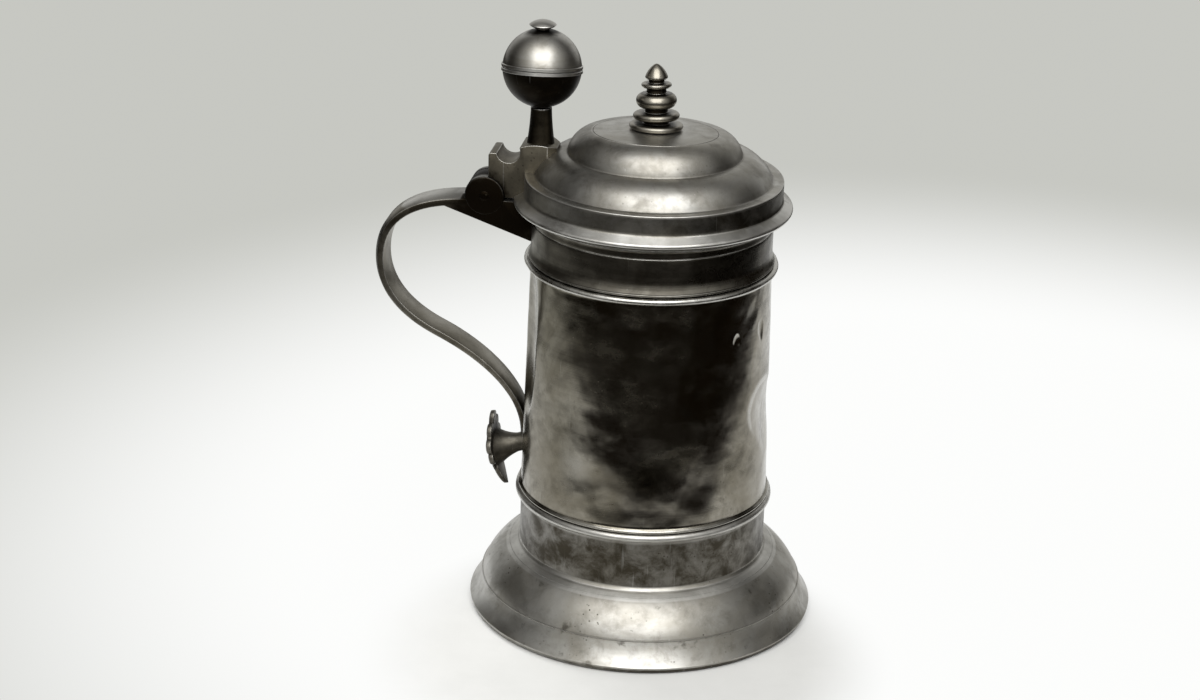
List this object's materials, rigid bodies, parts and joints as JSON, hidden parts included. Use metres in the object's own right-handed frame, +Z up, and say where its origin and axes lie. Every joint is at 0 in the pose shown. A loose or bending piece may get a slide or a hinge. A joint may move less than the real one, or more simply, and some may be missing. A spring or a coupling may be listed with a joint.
{
  "type": "lidded tankard",
  "caption": "Old pewter tankard: tapering drum on a wide flared foot, S-shaped strap handle, and a stepped domed lid with a finial that swings open at a hinge under a ball thumbpiece.",
  "frame": {"origin": "bottom centre of the bounding box, on the plane of the table; the drum's axis stands at x = 0.023 m", "axes": "+Z up along the drum's axis, -X towards the handle, Y along the lid hinge"},
  "size_m": [0.206, 0.16, 0.2763],
  "materials": {
    "foot_pewter": "satin",
    "drum_pewter": "satin",
    "floor_pewter": "satin",
    "handle_pewter": "satin",
    "hinge_pewter": "satin",
    "lid_pewter": "satin",
    "finial_pewter": "satin",
    "ball_pewter": "satin"
  },
  "bodies": {
    "vessel": {"foot": "foot_pewter", "floor_disc": "floor_pewter", "drum": "drum_pewter", "lip_collar": "drum_pewter", "handle": "handle_pewter", "tail_shield": "hinge_pewter", "hinge_pin": "hinge_pewter"},
    "lid": {"lid": "lid_pewter", "lid_finial": "finial_pewter", "lid_lever": "hinge_pewter", "thumb_stem": "hinge_pewter", "ball_lower_half": "ball_pewter", "ball_upper_half": "ball_pewter", "ball_button": "ball_pewter"}
  },
  "joints": [
    {"name": "lid_hinge", "type": "hinge", "parent": "vessel", "child": "lid", "pos_m": [-0.0523, 0, 0.1955], "axis": [0, -1, 0], "range_deg": [0, 95]}
  ]
}
